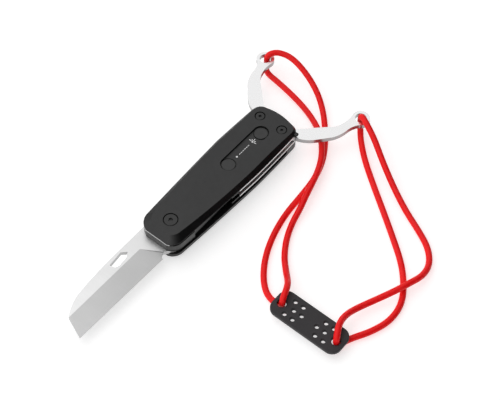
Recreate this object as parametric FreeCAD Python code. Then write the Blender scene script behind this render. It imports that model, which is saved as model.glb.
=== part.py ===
import FreeCAD, Part
import math
import os

V = FreeCAD.Vector

# A folding pocket knife that carries a fold-out slingshot fork with two rubber bands and a pouch.
# Frame: +Y along the handle from the blade to the fork, +X towards the side that the blade closes
# into, +Z up out of the top scale, z = 0 on the bottom scale's flat. Millimetres.

# ---- layer heights, bottom to top ----
BOTTOM_SCALE_TOP = 3.4
BOTTOM_LINER_TOP = 4.6
BLADE_GAP_TOP = 7.4
MIDDLE_LINER_TOP = 8.3
FORK_GAP_TOP = 11.6
TOP_LINER_TOP = 12.5
HANDLE_TOP = 15.5
SCALE_EDGE = 0.6                      # upright band of a scale's edge, before its bevel starts
PLAY = 0.05                           # running gap beside each moving piece
SEAT = 0.02                           # gap round a fixed pin or barrel
BLADE_WASHER, BLADE_WASHER_R = 0.15, 4.4
FORK_WASHER = 0.3
WIDE = 20.0                           # further than the handle reaches to either side or upwards

# ---- handle outline ----
BUTT_Y = -32.8
END_Y = 63.15
BEVEL_SIDE, BEVEL_BUTT, BEVEL_END = 2.0, 3.8, 1.3
LUG_X, LUG_Y, LUG_H = (11.0, 14.3), (57.2, 59.3), 1.2
RELIEF_X, RELIEF_Y = 10.9, -18.0      # finger relief in the right side: how deep, and where it starts
STEP_BACK_X = 9.4                     # the top liner stays behind this at the butt's right corner

# ---- pivots, screws and buttons ----
BLADE_PIVOT = (0.0, -22.0)
FORK_PIVOT = (7.05, 54.65)            # right-hand one; the left is its mirror image
BLADE_BARREL_R, FORK_BARREL_R = 2.6, 2.2
BLADE_HEAD_R, FORK_HEAD_R = 3.5, 2.5
BLADE_SHANK_R, FORK_SHANK_R = 1.6, 1.3
HEAD_GAP, HEAD_CHAMFER = 0.3, 0.25
SOCKET_DEPTH, SOCKET_REACH = 0.8, 0.26   # the reach of the six lobes, against the head's radius
HEAD_SINK, HEAD_T = 0.15, 1.3
COUNTERBORE = HEAD_SINK + HEAD_T + PLAY
SHANK_L = 4.0
LOCK_BUTTON_Y, FORK_BUTTON_Y = 21.2, 46.75
BUTTON_R, BUTTON_TRAVEL, BUTTON_SINK = 3.6, 0.7, 0.7
BUTTON_RELIEF_R, BUTTON_RELIEF_DEPTH = 4.05, 0.5
TRACK_R, TRACK_DEPTH = 4.1, 1.0
FLANGE_R, FLANGE_T, STEM_R = 4.6, 0.5, 1.4
BUTTON_CHAMFER = 0.15
SPRING_WALL, SPRING_GAP = 0.15, 0.3

# ---- blade, about its own pivot, pointing towards -Y ----
TANG_R = 8.3
SPINE_X, GRIND_X, EDGE_X = -11.4, -4.1, 7.8
TIP_Y = -71.8
EDGE_HALF_T = 0.12
STOP_PIN = (-9.75, 2.2)
STOP_PIN_R = 1.3
LOCK_HOLE = (0.0, 6.4)
LOCK_PIN_R = 1.1
SLOT_BACK_X, SLOT_BACK_Y, SLOT_END_Y = -8.4, -11.3, 51.3

# ---- fork arms ----
RING = (31.5, 89.05)
RING_R, RING_HOLE_R = 4.75, 3.0
HUB_R = 4.6
FOLDED_RING_END_Y = 7.2               # the fork layer's filler stops here, just past the folded rings
TONGUE_HALF_W, TONGUE_END_Y = 3.6, 18.0
DETENT_REACH, DETENT_BALL_R, DIMPLE_R = 6.0, 0.6, 0.8
LEAF_T = 0.25

# ---- blade lock lever, a rocker on a cross pin ----
LEVER_PIVOT = (4.0, 9.95)             # y, z of the cross pin
LEVER_T, LEVER_HALF_W, LEVER_PIN_R = 1.4, 1.6, 0.8
LEVER_BOSS_R, LEVER_CAVITY_HALF_W = 1.35, 2.2
LEVER_PIN_HALF_L, LEVER_PIN_SPARE = 4.6, 1.4    # the blind hole is longer than the pin

# ---- bands and pouch ----
BAND_R = 1.6
POUCH_CENTRE = (82.95, -19.1)
POUCH_L, POUCH_W, POUCH_T, POUCH_Z = 40.4, 15.0, 2.2, 3.5
POUCH_CORNER_R, CORD_HOLE_R, VENT_R = 5.0, 2.2, 1.05
CORD_HOLE = (16.0, -0.5)              # the left one is its mirror image
VENTS = ((11.4, 4.2), (6.7, 4.2), (9.1, 0.0), (4.5, 0.0), (11.4, -4.2), (6.7, -4.2))

# Each band is one closed loop: out of its ring upwards, to the pouch's hole, back under the ring.
LEFT_BAND = (
    (-31.0, 89.7, 9.95), (-31.0, 89.7, 13.0), (-30.2, 91.7, 15.0), (-27.2, 94.9, 15.2),
    (-20.5, 97.0, 13.2), (-10.2, 96.0, 10.2), (0.6, 92.3, 6.4), (9.6, 86.2, 3.4), (17.2, 78.4, 1.8),
    (24.2, 69.4, 1.65), (29.9, 59.6, 1.65), (33.0, 48.6, 1.65), (34.2, 36.6, 1.65), (35.0, 23.6, 1.65),
    (38.0, 9.8, 1.65), (43.4, -3.4, 1.65), (51.0, -14.0, 1.65), (58.6, -19.6, 1.65),
    (67.1, -19.4, 1.65), (67.1, -19.4, 8.9), (64.6, -12.6, 8.9),
    (60.8, -7.4, 4.6), (55.6, -2.4, 2.0), (50.0, 3.4, 1.65), (44.4, 12.2, 1.65), (40.8, 21.4, 1.8),
    (39.4, 29.0, 3.4), (37.3, 36.7, 5.3), (35.2, 44.4, 5.6), (32.8, 52.0, 5.6), (29.2, 59.6, 5.4),
    (23.7, 67.0, 5.2), (17.4, 73.0, 3.9), (9.8, 78.0, 2.5), (0.6, 81.8, 2.3), (-10.6, 84.3, 3.0),
    (-20.8, 85.6, 4.0), (-27.0, 86.0, 4.7), (-29.9, 87.7, 4.9), (-31.0, 89.7, 6.9),
    (-31.0, 89.7, 9.85),
)
RIGHT_BAND = (
    (31.3, 89.2, 9.95), (31.3, 89.2, 13.0), (33.3, 87.9, 15.0), (37.4, 85.6, 14.6),
    (45.0, 82.0, 11.8), (54.6, 76.4, 7.8), (66.4, 69.6, 4.2), (79.4, 62.6, 2.0), (91.6, 57.0, 1.65),
    (101.0, 51.8, 1.65), (107.2, 44.4, 1.9), (108.8, 36.0, 3.6), (107.0, 28.2, 5.4),
    (104.0, 19.6, 5.4), (99.4, 10.6, 4.0), (95.6, 1.6, 4.4), (94.2, -6.3, 6.8),
    (95.5, -13.3, 8.9), (99.2, -19.8, 8.9), (99.2, -19.8, 1.65), (102.2, -12.2, 1.65),
    (107.2, -3.8, 1.65), (110.8, 6.8, 1.65), (109.8, 17.6, 1.65), (104.2, 26.8, 1.65), (95.6, 35.8, 1.65),
    (83.6, 43.9, 1.65), (69.4, 54.2, 1.65), (55.6, 64.9, 1.65), (44.6, 74.4, 2.4),
    (36.8, 82.6, 3.7), (32.9, 87.4, 4.9), (31.3, 89.2, 6.9), (31.3, 89.2, 9.85),
)


# ---- general shapes ----
def cyl(x, y, radius, z0, z1):
    return Part.makeCylinder(radius, z1 - z0, V(x, y, z0))


def tube(x, y, inner, outer, z0, z1):
    return cyl(x, y, outer, z0, z1).cut(cyl(x, y, inner, z0 - 1, z1 + 1))


def block(x0, x1, y0, y1, z0, z1):
    return Part.makeBox(x1 - x0, y1 - y0, z1 - z0, V(x0, y0, z0))


def outline_wire(start, steps, z):
    """A closed wire at height z: each step is an end point, or a via point and an end point of an arc."""
    edges = []
    here = V(*start, z)
    for step in steps:
        end = V(*step[-2:], z)
        if len(step) == 4:
            edges.append(Part.Arc(here, V(*step[:2], z), end).toShape())
        else:
            edges.append(Part.LineSegment(here, end).toShape())
        here = end
    return Part.Wire(edges)


def plate(start, steps, z0, z1):
    return Part.Face(outline_wire(start, steps, z0)).extrude(V(0, 0, z1 - z0))


def mirrored(shape):
    return shape.mirror(V(0, 0, 0), V(1, 0, 0))


def both_sides(make):
    right = make()
    return Part.makeCompound([right, mirrored(right)])


def capsule(radius, y0, y1, z0, z1):
    """An upright slab with round ends, on the Y axis."""
    steps = ((radius, y1), (0, y1 + radius, -radius, y1), (-radius, y0), (0, y0 - radius, radius, y0))
    return plate((radius, y0), steps, z0, z1)


# ---- handle plates ----
def handle_outline(z, side=0.0, butt=0.0, end=0.0):
    """The handle's outline at height z, drawn in by side, butt and end."""
    butt_y = BUTT_Y + butt
    butt_x = 6.6 - 0.25 * butt
    corner_in = side + 0.27 * butt
    corner_up = 0.55 * butt
    steps = (
        (butt_x, butt_y),
        (10.0 - 0.9 * corner_in, -30.4 + 0.8 * butt, 11.3 - corner_in, -26.4 + corner_up),
        (13.0 - side, 4.0, 13.9 - side, 27.0),
        (13.75 - side, 42.0, 13.3 - 0.6 * side, 56.2 - 0.1 * end),
        (11.9 - 0.6 * side, 60.2 - 0.6 * end, 8.0 - 0.3 * side, 61.9 - 0.9 * end),
        (0.0, END_Y - end, -8.4 + 0.3 * side, 61.95 - 0.9 * end),
        (-12.4 + 0.6 * side, 59.9 - 0.6 * end, -14.0 + 0.8 * side, 56.0 - 0.1 * end),
        (-14.5 + side, 43.0, -14.86 + side, 30.0),
        (-13.7 + side, 2.4, -12.2 + corner_in, -26.2 + corner_up),
        (-10.7 + 0.9 * corner_in, -29.8 + 0.8 * butt, -butt_x, butt_y),
    )
    return outline_wire((-butt_x, butt_y), steps, z)


def slab(z0, z1):
    return Part.Face(handle_outline(z0)).extrude(V(0, 0, z1 - z0))


def scale_blank(z_inner, z_outer):
    """A scale: upright at its inner edge, then bevelled all round to its outer face."""
    z_edge = z_inner + math.copysign(SCALE_EDGE, z_outer - z_inner)
    low, high = sorted((z_inner, z_edge))
    face_wire = handle_outline(z_outer, BEVEL_SIDE, BEVEL_BUTT, BEVEL_END)
    bevel = Part.makeLoft([handle_outline(z_edge), face_wire], True, True)
    return slab(low, high).fuse(bevel).removeSplitter()


def pivot_holes(gap, z0, z1):
    """Holes for the three barrels, with the given gap round each."""
    right = cyl(*FORK_PIVOT, FORK_BARREL_R + gap, z0, z1)
    blade = cyl(*BLADE_PIVOT, BLADE_BARREL_R + gap, z0, z1)
    return [blade, right, mirrored(right)]


def head_pockets(z0, z1):
    right = cyl(*FORK_PIVOT, FORK_HEAD_R + HEAD_GAP, z0, z1)
    return [cyl(*BLADE_PIVOT, BLADE_HEAD_R + HEAD_GAP, z0, z1), right, mirrored(right)]


def top_scale():
    scale = scale_blank(TOP_LINER_TOP, HANDLE_TOP)
    lug = block(*LUG_X, *LUG_Y, TOP_LINER_TOP, TOP_LINER_TOP + LUG_H)
    cuts = pivot_holes(SEAT, 0, WIDE) + head_pockets(HANDLE_TOP - COUNTERBORE, WIDE)
    track_floor = HANDLE_TOP - TRACK_DEPTH
    cuts.append(capsule(TRACK_R, LOCK_BUTTON_Y, FORK_BUTTON_Y, track_floor, WIDE))
    for y in (LOCK_BUTTON_Y, FORK_BUTTON_Y):
        cuts.append(cyl(0, y, BUTTON_R + PLAY, 0, WIDE))
        cuts.append(cyl(0, y, BUTTON_RELIEF_R, track_floor - BUTTON_RELIEF_DEPTH, WIDE))
        cuts.append(cyl(0, y, FLANGE_R + 2 * PLAY, 0, flange_top() + PLAY))
    return scale.fuse(lug).cut(cuts)


def bottom_scale():
    cuts = pivot_holes(SEAT, -1, HANDLE_TOP) + head_pockets(-1, COUNTERBORE)
    return scale_blank(BOTTOM_SCALE_TOP, 0).cut(cuts)


def finger_relief():
    """Room for a fingertip behind the folded rings, sunk into the side of the layers under the top scale."""
    return block(RELIEF_X, WIDE, RELIEF_Y, FOLDED_RING_END_Y + 1, BLADE_GAP_TOP - 1, TOP_LINER_TOP)


def stop_pin_place():
    return BLADE_PIVOT[0] + STOP_PIN[0], BLADE_PIVOT[1] + STOP_PIN[1]


def top_liner():
    stems = [cyl(0, y, STEM_R + 2 * PLAY, 0, HANDLE_TOP) for y in (LOCK_BUTTON_Y, FORK_BUTTON_Y)]
    step_back = block(STEP_BACK_X, WIDE, BUTT_Y - 1, RELIEF_Y + 0.1, FORK_GAP_TOP - 1, HANDLE_TOP)
    liner = slab(FORK_GAP_TOP, TOP_LINER_TOP)
    return liner.cut(pivot_holes(SEAT, 0, HANDLE_TOP) + stems + [finger_relief(), step_back])


def middle_liner():
    cuts = pivot_holes(SEAT, 0, HANDLE_TOP)
    cuts.append(cyl(*stop_pin_place(), STOP_PIN_R + SEAT, 0, HANDLE_TOP))
    cuts.append(cyl(*lock_pin_place(), LOCK_PIN_R + 0.4, 0, HANDLE_TOP))
    cuts.append(cyl(0, FORK_BUTTON_Y, STEM_R + 0.3, 0, HANDLE_TOP))
    cuts.append(both_sides(detent_pocket))
    cuts.append(finger_relief())
    return slab(BLADE_GAP_TOP, MIDDLE_LINER_TOP).cut(cuts)


def bottom_liner():
    cuts = pivot_holes(SEAT, 0, HANDLE_TOP)
    cuts.append(cyl(*stop_pin_place(), STOP_PIN_R + SEAT, 0, HANDLE_TOP))
    return slab(BOTTOM_SCALE_TOP, BOTTOM_LINER_TOP).cut(cuts)


def blade_spacer():
    """Backs the blade's slot along the left side and closes it at the fork end."""
    left = block(-WIDE, SLOT_BACK_X, SLOT_BACK_Y, END_Y + 1, BOTTOM_LINER_TOP, BLADE_GAP_TOP)
    far_end = block(-WIDE, WIDE, SLOT_END_Y, END_Y + 1, BOTTOM_LINER_TOP, BLADE_GAP_TOP)
    spacer = slab(BOTTOM_LINER_TOP, BLADE_GAP_TOP).common(left.fuse(far_end))
    return spacer.removeSplitter().cut(pivot_holes(SEAT, 0, HANDLE_TOP))


def fork_spacer():
    """Fills the fork layer from the butt to the folded rings, hollow for the lock lever."""
    filler = slab(MIDDLE_LINER_TOP, FORK_GAP_TOP).common(
        block(-WIDE, WIDE, BUTT_Y - 1, FOLDED_RING_END_Y, MIDDLE_LINER_TOP, FORK_GAP_TOP))
    tongue = block(-TONGUE_HALF_W, TONGUE_HALF_W, 0, TONGUE_END_Y, MIDDLE_LINER_TOP, FORK_GAP_TOP)
    cavity_start = lock_pin_place()[1] - LOCK_PIN_R - 1.3
    cavity = block(-LEVER_CAVITY_HALF_W, LEVER_CAVITY_HALF_W, cavity_start, TONGUE_END_Y + 1, 0, WIDE)
    half_l = LEVER_PIN_HALF_L + LEVER_PIN_SPARE
    cross_hole = Part.makeCylinder(LEVER_PIN_R + SEAT, 2 * half_l, V(-half_l, *LEVER_PIVOT), V(1, 0, 0))
    body = filler.cut(finger_relief()).fuse(tongue).removeSplitter()
    return body.cut([cavity, cross_hole] + pivot_holes(SEAT, 0, HANDLE_TOP))


def fork_stop_block():
    """Wedge at the fork end that both opened arms rest against."""
    point_y = 52.5
    steps = ((WIDE, point_y + WIDE), (-WIDE, point_y + WIDE), (0, point_y))
    wedge = plate((0, point_y), steps, MIDDLE_LINER_TOP, FORK_GAP_TOP)
    hubs = both_sides(lambda: cyl(*FORK_PIVOT, HUB_R + 0.35, 0, HANDLE_TOP))
    return wedge.common(slab(MIDDLE_LINER_TOP, FORK_GAP_TOP)).cut(hubs)


# ---- screws, barrels, washers ----
def screw(x, y, head_r, shank_r, up):
    """A flat-headed screw with a six-lobe socket, its head at the top of the handle or at the bottom."""
    top = HANDLE_TOP - HEAD_SINK
    bottom = top - HEAD_T
    head = cyl(x, y, head_r, bottom, top)
    rim = [e for e in head.Edges if abs(e.BoundBox.ZMin - top) < 1e-6 and e.BoundBox.ZLength < 1e-6]
    head = head.makeChamfer(HEAD_CHAMFER, rim)
    lobe_reach = SOCKET_REACH * head_r
    socket = [cyl(x, y, lobe_reach, top - SOCKET_DEPTH, WIDE)]
    for k in range(6):
        a = math.radians(60 * k)
        lobe = (x + lobe_reach * math.cos(a), y + lobe_reach * math.sin(a))
        socket.append(cyl(*lobe, lobe_reach / 3, top - SOCKET_DEPTH, WIDE))
    made = head.fuse(cyl(x, y, shank_r, bottom - SHANK_L, bottom)).cut(socket)
    if not up:
        made = made.mirror(V(0, 0, HANDLE_TOP / 2), V(0, 0, 1))
    return made


def blade_pivot_screws():
    return Part.makeCompound([screw(*BLADE_PIVOT, BLADE_HEAD_R, BLADE_SHANK_R, up) for up in (True, False)])


def fork_pivot_screws():
    def right_pair():
        pair = [screw(*FORK_PIVOT, FORK_HEAD_R, FORK_SHANK_R, up) for up in (True, False)]
        return Part.makeCompound(pair)
    return both_sides(right_pair)


def barrel(x, y, radius, shank_r):
    low = COUNTERBORE
    return tube(x, y, shank_r + SEAT, radius, low, HANDLE_TOP - low)


def blade_washers():
    ring = (*BLADE_PIVOT, BLADE_BARREL_R + PLAY, BLADE_WASHER_R)
    low = tube(*ring, BOTTOM_LINER_TOP, BOTTOM_LINER_TOP + BLADE_WASHER)
    high = tube(*ring, BLADE_GAP_TOP - BLADE_WASHER, BLADE_GAP_TOP)
    return Part.makeCompound([low, high])


def fork_washers():
    def right_pair():
        ring = (*FORK_PIVOT, FORK_BARREL_R + PLAY, HUB_R - 0.3)
        low = tube(*ring, MIDDLE_LINER_TOP, MIDDLE_LINER_TOP + FORK_WASHER)
        high = tube(*ring, FORK_GAP_TOP - FORK_WASHER, FORK_GAP_TOP)
        return Part.makeCompound([low, high])
    return both_sides(right_pair)


# ---- blade ----
def lock_pin_place():
    return BLADE_PIVOT[0] + LOCK_HOLE[0], BLADE_PIVOT[1] + LOCK_HOLE[1]


def main_blade():
    """Sheepsfoot-like blade with a straight edge, a slanted square tip and a thumb hole."""
    z0 = BOTTOM_LINER_TOP + BLADE_WASHER + PLAY
    z1 = BLADE_GAP_TOP - BLADE_WASHER - PLAY
    shoulder_x = -math.sqrt(TANG_R ** 2 - 0.8 ** 2)
    kick_x = math.sqrt(TANG_R ** 2 - 3.7 ** 2)
    tip_heel = (EDGE_X - 0.9, TIP_Y)
    steps = (
        (SPINE_X, 0.8), (shoulder_x, 0.8), (0, TANG_R, kick_x, -3.7),
        (9.4, -3.7), (9.2, -7.5), (5.9, -12.4), (6.3, -14.0, EDGE_X, -15.2), tip_heel,
        (-4.4, -67.4), (-7.5, -61.9, -9.5, -55.6), (-10.7, -42.0, -11.2, -28.0),
    )
    blade = plate((-11.2, -28.0), steps, z0, z1)
    thumb = ((-9.0, -34.5), (-6.0, -33.6), (-5.2, -31.5), (-5.8, -25.6), (-7.6, -23.3), (-9.9, -25.6))
    thumb_hole = plate(thumb[-1], [*thumb], z0 - 1, z1 + 1)
    lock_hole = cyl(*LOCK_HOLE, LOCK_PIN_R + 0.15, z0 - 1, z1 + 1)
    pivot_hole = cyl(0, 0, BLADE_BARREL_R + PLAY, z0 - 1, z1 + 1)
    blade = blade.cut([thumb_hole, lock_hole, pivot_hole, *grinds(z0, z1)])
    blade.translate(V(*BLADE_PIVOT, 0))
    return blade


def grinds(z0, z1):
    """The two wedges ground off the blade, from the plunge line to the tip, that leave the edge."""
    middle = (z0 + z1) / 2
    half_t = (z1 - z0) / 2
    slope = (half_t - EDGE_HALF_T) / (EDGE_X - GRIND_X)
    over = 3.0
    reach = EDGE_X + over
    low = half_t - slope * (reach - GRIND_X)
    wedges = []
    for sign in (1, -1):
        outside = middle + sign * (half_t + over)
        corners = [V(GRIND_X, 0, middle + sign * half_t), V(reach, 0, middle + sign * low),
                   V(reach, 0, outside), V(GRIND_X, 0, outside)]
        face = Part.Face(Part.makePolygon(corners + corners[:1]))
        face.translate(V(0, TIP_Y - over, 0))
        wedges.append(face.extrude(V(0, -TIP_Y, 0)).common(grind_area(z0 - 5, z1 + 5)))
    return wedges


def grind_area(z0, z1):
    steps = ((GRIND_X, -18.4), (5.5, -12.4), (12, -10.0), (12, -80), (GRIND_X, -80))
    return plate((GRIND_X, -80), steps, z0, z1)


def blade_stop_pin():
    return cyl(*stop_pin_place(), STOP_PIN_R, BOTTOM_SCALE_TOP, MIDDLE_LINER_TOP)


# ---- fork ----
def fork_arm():
    """The right-hand arm: a hub, a bent flat bar and a ring."""
    z0 = MIDDLE_LINER_TOP + FORK_WASHER + PLAY
    z1 = FORK_GAP_TOP - FORK_WASHER - PLAY
    steps = (
        (13.2, 57.6), (17.5, 59.3, 21.8, 62.6), (28.2, 70.2), (29.8, 73.6, 30.9, 78.2),
        (31.7, 81.6, 33.6, 84.8), (27.1, 87.2), (27.2, 84.4, 26.5, 80.6), (25.2, 77.2, 22.6, 74.2),
        (12.1, 64.0), (4.8, 56.9), (8.5, 50.3),
    )
    bar = plate((8.5, 50.3), steps, z0, z1)
    arm = bar.fuse([cyl(*FORK_PIVOT, HUB_R, z0, z1), cyl(*RING, RING_R, z0, z1)]).removeSplitter()
    dimple = Part.makeSphere(DIMPLE_R, V(*detent_place(), z0 - 0.5))
    holes = [cyl(*FORK_PIVOT, FORK_BARREL_R + PLAY, 0, WIDE), cyl(*RING, RING_HOLE_R, 0, WIDE), dimple]
    return arm.cut(holes)


def detent_place():
    """Under the opened arm, outwards of its pivot."""
    reach = DETENT_REACH / math.sqrt(2)
    return FORK_PIVOT[0] + reach, FORK_PIVOT[1] + reach


def detent_pocket():
    return cyl(*detent_place(), DETENT_BALL_R + SEAT, 0, HANDLE_TOP)


def fork_detent_balls():
    height = MIDDLE_LINER_TOP - DETENT_BALL_R / 2
    return both_sides(lambda: Part.makeSphere(DETENT_BALL_R, V(*detent_place(), height)))


# ---- buttons and locks ----
def flange_top():
    return TOP_LINER_TOP + PLAY + BUTTON_TRAVEL + FLANGE_T


def button(y, stem_end):
    disc_top = HANDLE_TOP - BUTTON_SINK
    disc = cyl(0, y, BUTTON_R, flange_top() - PLAY, disc_top)
    rim = [e for e in disc.Edges if abs(e.BoundBox.ZMin - disc_top) < 1e-6 and e.BoundBox.ZLength < 1e-6]
    flange = cyl(0, y, FLANGE_R, flange_top() - FLANGE_T, flange_top())
    stem = cyl(0, y, STEM_R, stem_end, flange_top())
    return disc.makeChamfer(BUTTON_CHAMFER, rim).fuse([flange, stem]).removeSplitter()


def cone_spring(y):
    """A conical washer spring between the top liner and a button's flange."""
    low, high = TOP_LINER_TOP + SEAT, flange_top() - FLANGE_T - SEAT
    inner, outer = STEM_R + SPRING_GAP, FLANGE_R - SPRING_GAP
    corners = [V(inner, 0, high - SPRING_WALL), V(inner, 0, high), V(outer, 0, low + SPRING_WALL),
               V(outer, 0, low)]
    ring = Part.Face(Part.makePolygon(corners + corners[:1])).revolve(V(0, 0, 0), V(0, 0, 1), 360)
    ring.translate(V(0, y, 0))
    return ring


def lever_top():
    return LEVER_PIVOT[1] + LEVER_T / 2


def lock_lever():
    y, z = LEVER_PIVOT
    front = lock_pin_place()[1] - 1.9
    bar = block(-LEVER_HALF_W, LEVER_HALF_W, front, LOCK_BUTTON_Y + 1.6, z - LEVER_T / 2, lever_top())
    boss = Part.makeCylinder(LEVER_BOSS_R, 2 * LEVER_HALF_W, V(-LEVER_HALF_W, y, z), V(1, 0, 0))
    pivot_hole = Part.makeCylinder(LEVER_PIN_R + PLAY, 2 * WIDE, V(-WIDE, y, z), V(1, 0, 0))
    seat = cyl(*lock_pin_place(), LOCK_PIN_R + SEAT, 0, WIDE)
    return bar.fuse(boss).removeSplitter().cut([pivot_hole, seat])


def lock_lever_pin():
    start = V(-LEVER_PIN_HALF_L, *LEVER_PIVOT)
    return Part.makeCylinder(LEVER_PIN_R, 2 * LEVER_PIN_HALF_L, start, V(1, 0, 0))


def lock_pin():
    """Pressed into the lever's front end; it drops into the open blade's lock hole."""
    return cyl(*lock_pin_place(), LOCK_PIN_R, BLADE_GAP_TOP - BLADE_WASHER, lever_top())


def fork_lock_leaf():
    """Thin spring leaf on the middle liner, under the fork button's stem, with a finger beside each hub."""
    z0, z1 = MIDDLE_LINER_TOP, MIDDLE_LINER_TOP + LEAF_T
    tail = block(-1.8, 1.8, 33.0, 51.2, z0, z1)
    cross = plate((-6.0, 48.6), ((6.0, 48.6), (3.2, 51.6), (-3.2, 51.6), (-6.0, 48.6)), z0, z1)
    rivet_hole = cyl(0, 35.0, 0.7, 0, WIDE)
    return tail.fuse(cross).removeSplitter().cut(rivet_hole)


# ---- bands and pouch ----
def rounded_route(points):
    """Straight runs joined by tangent arcs, each arc as large as its two runs allow; also the radii."""
    pts = [V(*p) for p in points]
    edges, radii = [], []
    here = pts[0]
    for before, corner, after in zip(pts, pts[1:], pts[2:]):
        run_in, run_out = (corner - before).Length, (after - corner).Length
        u = (corner - before).normalize()
        w = (after - corner).normalize()
        half_turn = u.getAngle(w) / 2
        cut_back = 0.45 * min(run_in, run_out)
        radii.append(cut_back / math.tan(half_turn))
        start, end = corner - u * cut_back, corner + w * cut_back
        inward = (w - u).normalize()
        middle = corner + inward * (radii[-1] / math.cos(half_turn) - radii[-1])
        edges.append(Part.LineSegment(here, start).toShape())
        edges.append(Part.Arc(start, middle, end).toShape())
        here = end
    edges.append(Part.LineSegment(here, pts[-1]).toShape())
    return Part.Wire(edges), radii


def band(points, name):
    path, radii = rounded_route(points)
    first = V(*points[1]) - V(*points[0])
    section = Part.Wire(Part.makeCircle(BAND_R, V(*points[0]), first))
    solid = path.makePipeShell([section], True, False)
    ratio = solid.Volume / (math.pi * BAND_R ** 2 * path.Length)
    print(name, "length", round(path.Length, 1), "volume ratio", round(ratio, 4), "valid", solid.isValid())
    print("  radii", [round(r, 1) for r in radii])
    return solid


def pouch():
    half_l, half_w, r = POUCH_L / 2, POUCH_W / 2, POUCH_CORNER_R
    k = r * (1 - math.sqrt(0.5))
    steps = (
        (half_l - r, -half_w), (half_l - k, -half_w + k, half_l, -half_w + r),
        (half_l, half_w - r), (half_l - k, half_w - k, half_l - r, half_w),
        (-half_l + r, half_w), (-half_l + k, half_w - k, -half_l, half_w - r),
        (-half_l, -half_w + r), (-half_l + k, -half_w + k, -half_l + r, -half_w),
    )
    strap = plate((-half_l + r, -half_w), steps, POUCH_Z, POUCH_Z + POUCH_T)
    for side in (-1, 1):
        strap = strap.cut([cyl(side * CORD_HOLE[0], CORD_HOLE[1], CORD_HOLE_R, 0, WIDE)]
                          + [cyl(side * x, y, VENT_R, 0, WIDE) for x, y in VENTS])
    strap.translate(V(*POUCH_CENTRE, 0))
    return strap


def nodes():
    return {
        "top_scale": top_scale(),
        "bottom_scale": bottom_scale(),
        "top_liner": top_liner(),
        "middle_liner": middle_liner(),
        "bottom_liner": bottom_liner(),
        "blade_spacer": blade_spacer(),
        "fork_spacer": fork_spacer(),
        "fork_stop_block": fork_stop_block(),
        "blade_pivot_screws": blade_pivot_screws(),
        "fork_pivot_screws": fork_pivot_screws(),
        "blade_pivot_barrel": barrel(*BLADE_PIVOT, BLADE_BARREL_R, BLADE_SHANK_R),
        "fork_pivot_barrels": both_sides(lambda: barrel(*FORK_PIVOT, FORK_BARREL_R, FORK_SHANK_R)),
        "blade_washers": blade_washers(),
        "fork_washers": fork_washers(),
        "main_blade": main_blade(),
        "blade_stop_pin": blade_stop_pin(),
        "fork_arm_right": fork_arm(),
        "fork_arm_left": mirrored(fork_arm()),
        "fork_detent_balls": fork_detent_balls(),
        "lock_button": button(LOCK_BUTTON_Y, lever_top() + PLAY),
        "fork_button": button(FORK_BUTTON_Y, MIDDLE_LINER_TOP + 0.3),
        "lock_button_spring": cone_spring(LOCK_BUTTON_Y),
        "fork_button_spring": cone_spring(FORK_BUTTON_Y),
        "lock_lever": lock_lever(),
        "lock_lever_pin": lock_lever_pin(),
        "lock_pin": lock_pin(),
        "fork_lock_leaf": fork_lock_leaf(),
        "pouch": pouch(),
        "band_left": band(LEFT_BAND, "left band"),
        "band_right": band(RIGHT_BAND, "right band"),
    }


os.makedirs("parts", exist_ok=True)
for node, shape in nodes().items():
    shape.exportStep(f"parts/{node}.step")
    b = shape.BoundBox
    print(f"{node:20s} solids {len(shape.Solids)} valid {shape.isValid()} vol {shape.Volume:9.2f}",
          [round(v, 2) for v in (b.XMin, b.XMax, b.YMin, b.YMax, b.ZMin, b.ZMax)])
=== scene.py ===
import math

import bmesh
import bpy
from mathutils import Matrix, Quaternion, Vector


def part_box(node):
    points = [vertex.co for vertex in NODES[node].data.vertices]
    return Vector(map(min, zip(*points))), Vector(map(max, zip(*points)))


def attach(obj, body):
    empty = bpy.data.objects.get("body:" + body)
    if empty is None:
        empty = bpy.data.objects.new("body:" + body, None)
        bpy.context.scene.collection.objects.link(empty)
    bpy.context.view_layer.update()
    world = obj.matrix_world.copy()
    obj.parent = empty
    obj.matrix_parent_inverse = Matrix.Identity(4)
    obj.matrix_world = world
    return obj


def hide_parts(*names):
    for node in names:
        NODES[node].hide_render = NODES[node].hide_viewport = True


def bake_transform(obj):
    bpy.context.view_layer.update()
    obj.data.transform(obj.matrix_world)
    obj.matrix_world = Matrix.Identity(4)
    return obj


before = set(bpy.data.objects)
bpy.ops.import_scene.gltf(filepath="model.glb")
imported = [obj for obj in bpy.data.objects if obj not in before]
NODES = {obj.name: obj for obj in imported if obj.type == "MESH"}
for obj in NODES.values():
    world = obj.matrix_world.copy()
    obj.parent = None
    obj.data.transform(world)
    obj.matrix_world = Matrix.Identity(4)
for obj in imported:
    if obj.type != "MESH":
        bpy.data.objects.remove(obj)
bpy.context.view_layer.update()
MM = 0.001

# ---- camera: how far it stands, where it looks, in the knife's own frame ----
LOOK_AT = Vector((15.3, 19.5, 0.0)) * MM
CAMERA_AZIMUTH, CAMERA_ELEVATION = 39.5, 55.0
CAMERA_DISTANCE = 0.675
LENS, SENSOR = 97.2, 36.0

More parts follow.
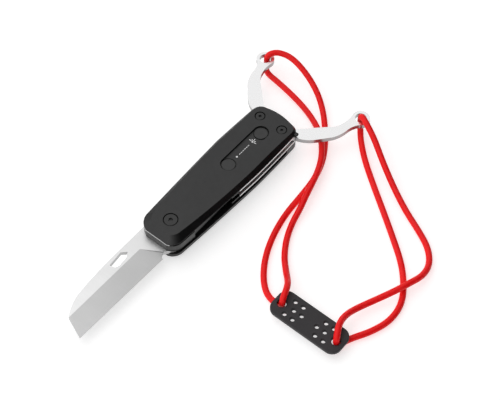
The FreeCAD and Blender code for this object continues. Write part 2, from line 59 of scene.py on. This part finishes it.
# ---- bands, the same routes as the CAD's within about 2 mm, in millimetres ----
BAND_DIAMETER = 3.2
LEFT_BAND = (
    (-31.0, 89.7, 9.95), (-31.0, 89.7, 12.4), (-30.2, 91.9, 13.8), (-27.2, 95.2, 13.9),
    (-20.5, 97.4, 12.8), (-10.2, 96.0, 10.2), (0.6, 92.3, 6.4), (9.6, 86.2, 3.4), (17.2, 78.4, 1.8),
    (24.2, 69.4, 1.65), (29.9, 59.6, 1.65), (33.0, 48.6, 1.65), (34.2, 36.6, 1.65), (35.0, 23.6, 1.65),
    (38.0, 9.8, 1.65), (43.4, -3.4, 1.65), (51.0, -14.0, 1.65), (58.6, -19.6, 1.65),
    (67.1, -19.4, 1.65), (67.1, -19.4, 8.9), (64.6, -12.6, 8.9),
    (60.8, -7.4, 4.6), (55.6, -2.4, 2.0), (50.0, 3.4, 1.65), (44.4, 12.2, 1.65), (40.8, 21.4, 1.8),
    (39.4, 29.0, 3.4), (37.3, 36.7, 5.3), (35.2, 44.4, 5.6), (32.8, 52.0, 5.6), (29.2, 59.6, 5.4),
    (23.7, 67.0, 5.2), (17.4, 73.0, 3.9), (9.8, 78.0, 2.5), (0.6, 81.8, 2.3), (-10.6, 84.3, 3.0),
    (-20.8, 85.6, 4.0), (-27.0, 86.0, 4.7), (-29.9, 87.7, 4.9), (-31.0, 89.7, 6.9),
    (-31.0, 89.7, 9.85),
)
RIGHT_BAND = (
    (31.3, 89.2, 9.95), (31.3, 89.2, 12.4), (33.3, 88.2, 13.8), (37.4, 86.0, 13.7),
    (45.0, 82.3, 11.6), (54.6, 76.4, 7.8), (66.4, 69.6, 4.2), (79.4, 62.6, 2.0), (91.6, 57.0, 1.65),
    (101.0, 51.8, 1.65), (107.2, 44.4, 1.9), (108.8, 36.0, 3.6), (107.0, 28.2, 5.4),
    (104.0, 19.6, 5.4), (99.4, 10.6, 4.0), (95.6, 1.6, 4.4), (94.2, -6.3, 6.8),
    (95.5, -13.3, 8.9), (99.2, -19.8, 8.9), (99.2, -19.8, 1.65), (102.2, -12.2, 1.65),
    (107.2, -3.8, 1.65), (110.8, 6.8, 1.65), (109.8, 17.6, 1.65), (104.4, 27.0, 1.65), (96.2, 36.3, 1.65),
    (85.0, 45.1, 1.65), (71.0, 55.6, 1.65), (56.8, 66.0, 1.65), (45.0, 74.9, 2.4),
    (36.8, 82.6, 3.7), (32.9, 87.4, 4.9), (31.3, 89.2, 6.9), (31.3, 89.2, 9.85),
)

# ---- pouch, about its own centre ----
POUCH_L, POUCH_W = 40.4, 15.0
POUCH_CORNER_R, CORD_HOLE_R, VENT_R = 5.0, 2.2, 1.05
CORD_HOLE = (16.0, -0.5)
VENTS = ((11.4, 4.2), (6.7, 4.2), (9.1, 0.0), (4.5, 0.0), (11.4, -4.2), (6.7, -4.2))
POUCH_EDGE_R = 0.45

# ---- painted sign between the buttons, in millimetres ----
MARK_Z, MARK_T = 14.5, 0.02           # lies on the floor of the buttons' track
DOT_Y, DOT_R = 27.8, 0.55
DASH_Y, DASH_STEP, DASH_L, DASH_W, DASHES = 29.6, 1.35, 1.0, 0.34, 6
BURST_Y, BURST_R = 39.9, 0.5
RAY_TURN, RAY_START, RAY_W = 42.0, 0.8, 0.36
SHORT_RAY, LONG_RAY = 1.7, 2.2
ROUND_SIDES = 12

# ---- where the liners stay bright, in metres of the knife's frame: the mask's start and end; elsewhere the liners carry painted shade ----
BUTT_LINE_X = (0.0078, 0.0082)        # bright to the left of this
BUTT_LINE_Z = (0.01185, 0.01195)      # and above this
FORK_SLOT_Y = (0.0138, 0.0142)        # and everywhere beyond this

# ---- stage ----
FLOOR_SIZE, FLOOR_Z = 6.0, -0.0002
FLOOR_GREY, FLOOR_GLOW = 0.62, 0.58
DARK_SIDE = (0.87, 0.44, -0.1)        # the tent is dark towards here
TENT_BRIGHT, TENT_DARK = 0.92, 0.0
FADE_START, FADE_END = 0.05, 0.5      # cosines of the angle from the dark side
# each lamp: turn from the camera's azimuth, elevation, distance, size, watts
LAMPS = {"key": (-120, 65, 1.2, 0.8, 1.6), "fill": (-40, 50, 1.4, 0.9, 1.3)}


# ---- materials ----
WHOLE = (1.0, 1.0, 1.0)
FACE_GLOSS = 0.56                     # specular level of the black finish on flat faces


class Nodes:
    """A material with a Principled shader and a few short ways to add to it."""

    def __init__(self, name, colour, roughness, metallic=0.0):
        self.material = bpy.data.materials.new(name)
        self.material.use_nodes = True
        self.tree = self.material.node_tree
        self.shader = self.tree.nodes["Principled BSDF"]
        self.shader.inputs["Base Color"].default_value = (*colour, 1)
        self.shader.inputs["Roughness"].default_value = roughness
        self.shader.inputs["Metallic"].default_value = metallic
        self.coords = self.new("ShaderNodeTexCoord").outputs["Object"]

    def new(self, kind, **values):
        node = self.tree.nodes.new(kind)
        for key, value in values.items():
            if key in node.inputs:
                node.inputs[key].default_value = value
            else:
                setattr(node, key, value)
        return node

    def link(self, source, target):
        self.tree.links.new(source, target)

    def stretched(self, scale, turn=0.0):
        """Object coordinates scaled along each axis after a turn about Z: grain runs along a small scale."""
        mapping = self.new("ShaderNodeMapping")
        mapping.inputs["Scale"].default_value = scale
        mapping.inputs["Rotation"].default_value = (0, 0, turn)
        self.link(self.coords, mapping.inputs["Vector"])
        return mapping.outputs["Vector"]

    def noise(self, vector, scale, detail=3.0):
        node = self.new("ShaderNodeTexNoise", Scale=scale, Detail=detail)
        self.link(vector, node.inputs["Vector"])
        return node.outputs["Fac"]

    def ramp(self, fac, low, high, start=0.0, end=1.0):
        """Maps fac from start..end to the two given values or colours."""
        if isinstance(low, tuple):
            node = self.new("ShaderNodeValToRGB")
            stops = node.color_ramp.elements
            stops[0].position, stops[1].position = start, end
            stops[0].color, stops[1].color = (*low, 1), (*high, 1)
            self.link(fac, node.inputs["Fac"])
            return node.outputs["Color"]
        node = self.new("ShaderNodeMapRange")
        for key, value in (("From Min", start), ("From Max", end), ("To Min", low), ("To Max", high)):
            node.inputs[key].default_value = value
        self.link(fac, node.inputs["Value"])
        return node.outputs["Result"]

    def colour(self, output):
        self.link(output, self.shader.inputs["Base Color"])

    def rough(self, output):
        self.link(output, self.shader.inputs["Roughness"])

    def bump(self, height, strength, distance):
        node = self.new("ShaderNodeBump", Strength=strength, Distance=distance)
        self.link(height, node.inputs["Height"])
        if self.shader.inputs["Normal"].is_linked:
            self.link(self.shader.inputs["Normal"].links[0].from_socket, node.inputs["Normal"])
        self.link(node.outputs["Normal"], self.shader.inputs["Normal"])

    def by_facing(self, axis, low, high, start, end):
        """A colour that goes from low to high as the surface's own normal turns along an axis."""
        split = self.new("ShaderNodeSeparateXYZ")
        self.link(self.new("ShaderNodeNewGeometry").outputs["True Normal"], split.inputs["Vector"])
        size = self.new("ShaderNodeMath", operation="ABSOLUTE")
        self.link(split.outputs[axis], size.inputs[0])
        return self.ramp(size.outputs[0], low, high, start, end)

    def multiply(self, first, second):
        node = self.new("ShaderNodeMix", data_type="RGBA", blend_type="MULTIPLY")
        node.inputs[0].default_value = 1.0
        inputs = [socket for socket in node.inputs if socket.type == "RGBA"]
        self.link(first, inputs[0])
        self.link(second, inputs[1])
        return [socket for socket in node.outputs if socket.type == "RGBA"][0]


def anodised(name, colour, lighter, roughness, side_gloss=FACE_GLOSS):
    """Matt black finish: a fine blasted grain, with a faint cloud in colour and gloss, and duller sides."""
    m = Nodes(name, colour, roughness)
    cloud = m.noise(m.coords, 90.0, 4.0)
    m.colour(m.ramp(cloud, colour, lighter, 0.3, 0.75))
    m.rough(m.ramp(m.noise(m.coords, 420.0), roughness - 0.06, roughness + 0.06, 0.3, 0.7))
    m.bump(m.noise(m.coords, 5200.0, 2.0), 0.22, 0.00003)
    m.link(m.by_facing("X", FACE_GLOSS, side_gloss, 0.3, 0.6), m.shader.inputs["Specular IOR Level"])
    return m.material


def brushed(name, colour, darker, roughness, grain, turn=0.0, depth=0.00002, facing_shade=None):
    """Metal with a drawn grain: noise stretched hard along one direction, with painted shade that darkens
    faces by which way they turn.
    """
    m = Nodes(name, colour, roughness, metallic=1.0)
    lines = m.noise(m.stretched(grain, turn), 1.0, 6.0)
    cloud = m.noise(m.coords, 60.0, 2.0)
    tone = m.ramp(lines, darker, colour, 0.3, 0.7)
    # painted shade: the grain's colour is multiplied down on faces turned the way the last argument gives
    if facing_shade:
        tone = m.multiply(tone, m.by_facing(*facing_shade))
    m.colour(tone)
    m.rough(m.ramp(cloud, roughness - 0.05, roughness + 0.07, 0.3, 0.7))
    m.bump(lines, 0.25, depth)
    return m.material


def liner_steel(name):
    """Stainless plate, darkened to near black by painted shade but for its edges at the fork's slot and a
    thin line at the butt.
    """
    m = Nodes(name, (0.8, 0.8, 0.8), 0.3, metallic=1.0)
    place = m.new("ShaderNodeSeparateXYZ")
    m.link(m.coords, place.inputs["Vector"])
    left = m.ramp(place.outputs["X"], 1.0, 0.0, *BUTT_LINE_X)
    upper = m.ramp(place.outputs["Z"], 0.0, 1.0, *BUTT_LINE_Z)
    slot_end = m.ramp(place.outputs["Y"], 0.0, 1.0, *FORK_SLOT_Y)
    butt_line = m.new("ShaderNodeMath", operation="MULTIPLY")
    unshaded_mask = m.new("ShaderNodeMath", operation="MAXIMUM")
    m.link(left, butt_line.inputs[0])
    m.link(upper, butt_line.inputs[1])
    m.link(butt_line.outputs[0], unshaded_mask.inputs[0])
    m.link(slot_end, unshaded_mask.inputs[1])
    lines = m.noise(m.stretched((900, 40, 3000)), 1.0, 6.0)
    tone = m.ramp(lines, (0.62, 0.62, 0.62), (0.8, 0.8, 0.8), 0.3, 0.7)
    # painted shade: outside the mask the liner's colour is multiplied down to 0.02, standing in for the
    # shadow over the recessed liner edges
    m.colour(m.multiply(tone, m.ramp(unshaded_mask.outputs[0], (0.02, 0.02, 0.02), WHOLE)))
    m.bump(lines, 0.25, 0.00002)
    return m.material


def rubber(name, colour, lighter):
    """Drawn latex tube: smooth, with a dusty bloom and very slight ripples."""
    m = Nodes(name, colour, 0.42)
    m.shader.inputs["Specular IOR Level"].default_value = 0.22
    bloom = m.noise(m.coords, 240.0, 5.0)
    m.colour(m.ramp(bloom, colour, lighter, 0.35, 0.8))
    m.rough(m.ramp(bloom, 0.34, 0.52, 0.3, 0.7))
    m.bump(m.noise(m.coords, 700.0, 2.0), 0.12, 0.0001)
    m.bump(m.noise(m.coords, 3800.0, 2.0), 0.1, 0.00003)
    m.shader.inputs["Subsurface Weight"].default_value = 0.12
    m.shader.inputs["Subsurface Radius"].default_value = (0.002, 0.0005, 0.0004)
    m.shader.inputs["Subsurface Scale"].default_value = 1.0
    return m.material


def strap_leather(name, colour, lighter):
    """Dense coated leather: pebbled grain from cells, softened, over a slow waviness."""
    m = Nodes(name, colour, 0.62)
    cells = m.new("ShaderNodeTexVoronoi", Scale=900.0, feature="DISTANCE_TO_EDGE")
    m.link(m.coords, cells.inputs["Vector"])
    pebbles = cells.outputs["Distance"]
    wave = m.noise(m.coords, 160.0, 3.0)
    m.colour(m.ramp(wave, colour, lighter, 0.3, 0.75))
    m.rough(m.ramp(wave, 0.54, 0.72, 0.3, 0.7))
    m.bump(wave, 0.3, 0.0002)
    m.bump(m.ramp(pebbles, 0.0, 1.0, 0.0, 0.25), 0.35, 0.00006)
    return m.material


def paint(name, colour):
    """Pad-printed ink, slightly uneven."""
    m = Nodes(name, colour, 0.5)
    m.bump(m.noise(m.coords, 4000.0), 0.1, 0.00002)
    return m.material


HANDLE = anodised("handle_black", (0.005, 0.005, 0.0052), (0.008, 0.008, 0.0083), 0.44,
                  side_gloss=0.1)
SPACER = anodised("spacer_black", (0.005, 0.005, 0.005), (0.008, 0.008, 0.008), 0.42)
SCREW = anodised("screw_black", (0.004, 0.004, 0.004), (0.007, 0.007, 0.007), 0.36)
BUTTON = anodised("button_black", (0.014, 0.014, 0.014), (0.02, 0.02, 0.02), 0.46)
LINER = liner_steel("liner_steel")
# painted shade: the blade's bevels, tilted across X, are darkened to 0.72 of the flat's colour
BLADE = brushed("blade_steel", (0.71, 0.71, 0.71), (0.67, 0.67, 0.67), 0.36, (60, 5200, 900),
                facing_shade=("X", WHOLE, (0.72, 0.72, 0.72), 0.03, 0.07))
# painted shade: the fork arms' sides, turned away from Z, are darkened to 0.4 of the top faces' colour
FORK = brushed("fork_steel", (0.93, 0.93, 0.93), (0.9, 0.9, 0.905), 0.24, (5200, 5200, 900),
               depth=0.000004, facing_shade=("Z", (0.4, 0.4, 0.4), WHOLE, 0.2, 0.8))
SPRING = brushed("spring_steel", (0.5, 0.5, 0.52), (0.4, 0.4, 0.42), 0.35, (400, 1800, 400))
PIN = brushed("pin_steel", (0.6, 0.6, 0.6), (0.5, 0.5, 0.5), 0.3, (800, 800, 200))
BRONZE = brushed("washer_bronze", (0.62, 0.4, 0.18), (0.5, 0.3, 0.12), 0.35, (900, 900, 900))
RUBBER = rubber("band_red", (0.86, 0.004, 0.006), (0.92, 0.014, 0.014))
LEATHER = strap_leather("pouch_black", (0.016, 0.014, 0.016), (0.028, 0.025, 0.028))
WHITE = paint("mark_white", (0.8, 0.8, 0.8))

CAD_MATERIALS = {
    HANDLE: ("top_scale", "bottom_scale"),
    SPACER: ("fork_spacer", "blade_spacer", "fork_stop_block", "bottom_liner"),
    SCREW: ("blade_pivot_screws", "fork_pivot_screws"),
    BUTTON: ("lock_button", "fork_button"),
    LINER: ("top_liner", "middle_liner"),
    BLADE: ("main_blade",),
    FORK: ("fork_arm_right", "fork_arm_left"),
    SPRING: ("lock_button_spring", "fork_button_spring", "lock_lever", "fork_lock_leaf"),
    PIN: ("blade_pivot_barrel", "fork_pivot_barrels", "blade_stop_pin", "fork_detent_balls",
          "lock_lever_pin", "lock_pin"),
    BRONZE: ("blade_washers", "fork_washers"),
}


def dress_cad_nodes():
    for material, names in CAD_MATERIALS.items():
        for name in names:
            mesh = NODES[name].data
            mesh.materials.clear()
            mesh.materials.append(material)


# ---- pieces ----
def add(name, mesh, material):
    piece = bpy.data.objects.new(name, mesh)
    bpy.context.scene.collection.objects.link(piece)
    mesh.materials.clear()
    mesh.materials.append(material)
    return piece


def mesh_of(curve_data):
    """The mesh that Blender makes of a curve."""
    holder = bpy.data.objects.new("holder", curve_data)
    bpy.context.scene.collection.objects.link(holder)
    bpy.context.view_layer.update()
    graph = bpy.context.evaluated_depsgraph_get()
    mesh = bpy.data.meshes.new_from_object(holder.evaluated_get(graph))
    bpy.data.objects.remove(holder)
    return mesh


def spline_points(route):
    """Points along one open NURBS spline whose control points are the route's."""
    curve = bpy.data.curves.new("route", "CURVE")
    curve.dimensions = "3D"
    curve.resolution_u = 10
    spline = curve.splines.new("NURBS")
    spline.points.add(len(route) - 1)
    for point, place in zip(spline.points, route):
        point.co = (*(Vector(place) * MM), 1)
    spline.order_u = 3
    spline.use_endpoint_u = True
    return [v.co.copy() for v in mesh_of(curve).vertices]


def tube_mesh(name, path, radius, sides=20):
    """A round tube along path with flat ends; its rings turn as little as possible from one to the next."""
    bm = bmesh.new()
    tangent = (path[1] - path[0]).normalized()
    across = tangent.orthogonal().normalized()
    rings = []
    for i, place in enumerate(path):
        ahead = (path[min(i + 1, len(path) - 1)] - path[max(i - 1, 0)]).normalized()
        across = tangent.rotation_difference(ahead) @ across
        tangent = ahead
        ring = []
        for k in range(sides):
            outwards = Quaternion(tangent, math.tau * k / sides) @ across
            ring.append(bm.verts.new(place + outwards * radius))
        rings.append(ring)
    for low, high in zip(rings, rings[1:]):
        for k in range(sides):
            bm.faces.new((low[k], low[k - 1], high[k - 1], high[k]))
    bm.faces.new(rings[0])
    bm.faces.new(reversed(rings[-1]))
    bmesh.ops.recalc_face_normals(bm, faces=bm.faces)
    mesh = bpy.data.meshes.new(name)
    bm.to_mesh(mesh)
    bm.free()
    for face in mesh.polygons:
        face.use_smooth = len(face.vertices) == 4
    return mesh


def make_band(side, route):
    name = f"band_{side}_rubber"
    path = spline_points(route)
    band = add(name, tube_mesh(name, path, BAND_DIAMETER / 2 * MM), RUBBER)
    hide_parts(f"band_{side}")
    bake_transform(band)
    return band


def rounded_loop(curve, points):
    spline = curve.splines.new("POLY")
    spline.points.add(len(points) - 1)
    for point, (x, y) in zip(spline.points, points):
        point.co = (x, y, 0, 1)
    spline.use_cyclic_u = True


def circle_points(x, y, radius, count=40):
    turns = [math.tau * k / count for k in range(count)]
    return [(x + radius * math.cos(turn), y + radius * math.sin(turn)) for turn in turns]


def rounded_rectangle(half_l, half_w, radius, per_corner=12):
    points = []
    for k in range(4):
        corner_x = (half_l - radius) * (1 if k in (0, 3) else -1)
        corner_y = (half_w - radius) * (1 if k in (0, 1) else -1)
        for step in range(per_corner + 1):
            a = math.radians(90 * k + 90 * step / per_corner)
            points.append((corner_x + radius * math.cos(a), corner_y + radius * math.sin(a)))
    return points


def make_pouch():
    """The perforated strap, with softly rounded rims round its outline and its fourteen holes."""
    low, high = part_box("pouch")
    half_t = (high.z - low.z) / 2
    half_l = POUCH_L / 2 * MM
    half_w = POUCH_W / 2 * MM
    edge = POUCH_EDGE_R * MM
    curve = bpy.data.curves.new("pouch_outline", "CURVE")
    curve.dimensions = "2D"
    curve.fill_mode = "BOTH"
    curve.extrude = half_t - edge
    curve.bevel_depth = edge
    curve.bevel_resolution = 4
    curve.offset = -edge
    rounded_loop(curve, rounded_rectangle(half_l, half_w, POUCH_CORNER_R * MM))
    for side in (-1, 1):
        cord_hole = circle_points(side * CORD_HOLE[0] * MM, CORD_HOLE[1] * MM, CORD_HOLE_R * MM)
        rounded_loop(curve, cord_hole)
        for x, y in VENTS:
            rounded_loop(curve, circle_points(side * x * MM, y * MM, VENT_R * MM, 24))
    mesh = mesh_of(curve)
    mesh.transform(Matrix.Translation((low + high) / 2))
    pouch = add("pouch_strap", mesh, LEATHER)
    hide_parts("pouch")
    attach(pouch, "handle")
    return pouch


def make_mark():
    """The white sign between the buttons: a dot, a broken line and a burst."""
    bm = bmesh.new()

    def patch(corners):
        low = [bm.verts.new((x * MM, y * MM, MARK_Z * MM)) for x, y in corners]
        high = [bm.verts.new((x * MM, y * MM, (MARK_Z + MARK_T) * MM)) for x, y in corners]
        bm.faces.new(high)
        bm.faces.new(reversed(low))
        for k in range(len(corners)):
            bm.faces.new((low[k - 1], low[k], high[k], high[k - 1]))

    def ray(y, turn, start, end, width):
        along = Vector((math.sin(turn), math.cos(turn)))
        side = Vector((-along.y, along.x)) * width / 2
        near = Vector((0, y)) + along * start
        far = Vector((0, y)) + along * end
        patch([near + side, near - side, far - side, far + side])

    patch(circle_points(0, DOT_Y, DOT_R, ROUND_SIDES))
    for k in range(DASHES):
        ray(DASH_Y + DASH_STEP * k, 0, 0, DASH_L, DASH_W)
    patch(circle_points(0, BURST_Y, BURST_R, ROUND_SIDES))
    for k in range(-2, 3):
        ray(BURST_Y, math.radians(RAY_TURN * k), RAY_START, SHORT_RAY if k % 2 else LONG_RAY, RAY_W)
    bmesh.ops.recalc_face_normals(bm, faces=bm.faces)
    mesh = bpy.data.meshes.new("button_mark")
    bm.to_mesh(mesh)
    bm.free()
    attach(add("button_mark", mesh, WHITE), "handle")


def dress_bands_and_pouch():
    make_band("left", LEFT_BAND)
    make_band("right", RIGHT_BAND)
    make_pouch()


# ---- stage ----
def make_floor():
    bpy.ops.mesh.primitive_plane_add(size=FLOOR_SIZE, location=(0, 0, FLOOR_Z))
    floor = bpy.context.object
    floor.name = "floor"
    m = Nodes("floor_paper", (FLOOR_GREY, FLOOR_GREY, FLOOR_GREY), 0.85)
    m.shader.inputs["Specular IOR Level"].default_value = 0.1
    m.shader.inputs["Emission Color"].default_value = (1, 1, 1, 1)
    m.shader.inputs["Emission Strength"].default_value = FLOOR_GLOW
    m.rough(m.ramp(m.noise(m.coords, 30.0), 0.82, 0.9))
    floor.data.materials.append(m.material)


def area_light(name, place, size, power):
    data = bpy.data.lights.new(name, "AREA")
    data.shape = "DISK"
    data.size = size
    data.energy = power
    light = bpy.data.objects.new(name, data)
    light.location = place
    light.rotation_mode = "QUATERNION"
    light.rotation_quaternion = (LOOK_AT - Vector(place)).to_track_quat("-Z", "Y")
    bpy.context.scene.collection.objects.link(light)


def direction(azimuth, elevation):
    """The unit vector from the subject to a place at that azimuth and elevation; azimuth 0 is towards -Y."""
    a, e = math.radians(azimuth), math.radians(elevation)
    return Vector((math.sin(a) * math.cos(e), -math.cos(a) * math.cos(e), math.sin(e)))


def make_lights():
    """An even white tent, dark low down beyond the knife's long right side, and two soft lamps."""
    world = bpy.data.worlds.new("studio")
    world.use_nodes = True
    tree = world.node_tree
    towards = tree.nodes.new("ShaderNodeTexCoord").outputs["Generated"]
    along = tree.nodes.new("ShaderNodeVectorMath")
    along.operation = "DOT_PRODUCT"
    along.inputs[1].default_value = Vector(DARK_SIDE).normalized()
    tree.links.new(towards, along.inputs[0])
    fade = tree.nodes.new("ShaderNodeMapRange")
    fade.interpolation_type = "SMOOTHSTEP"
    fade.inputs["From Min"].default_value = FADE_START
    fade.inputs["From Max"].default_value = FADE_END
    fade.inputs["To Min"].default_value = TENT_BRIGHT
    fade.inputs["To Max"].default_value = TENT_DARK
    tree.links.new(along.outputs["Value"], fade.inputs["Value"])
    tree.links.new(fade.outputs["Result"], tree.nodes["Background"].inputs["Strength"])
    tree.nodes["Background"].inputs["Color"].default_value = (1, 1, 1, 1)
    bpy.context.scene.world = world
    for name, (turn, elevation, distance, size, watts) in LAMPS.items():
        place = LOOK_AT + direction(CAMERA_AZIMUTH + turn, elevation) * distance
        area_light(name, place, size, watts)


def make_camera():
    data = bpy.data.cameras.new("camera")
    data.lens = LENS
    data.sensor_width = SENSOR
    data.clip_start, data.clip_end = 0.01, 20
    camera = bpy.data.objects.new("camera", data)
    back = direction(CAMERA_AZIMUTH, CAMERA_ELEVATION)
    camera.location = LOOK_AT + back * CAMERA_DISTANCE
    camera.rotation_mode = "QUATERNION"
    camera.rotation_quaternion = (-back).to_track_quat("-Z", "Y")
    bpy.context.scene.collection.objects.link(camera)
    bpy.context.scene.camera = camera


make_camera()
dress_cad_nodes()
dress_bands_and_pouch()
make_mark()
make_floor()
make_lights()
bpy.context.scene.view_settings.view_transform = "Standard"
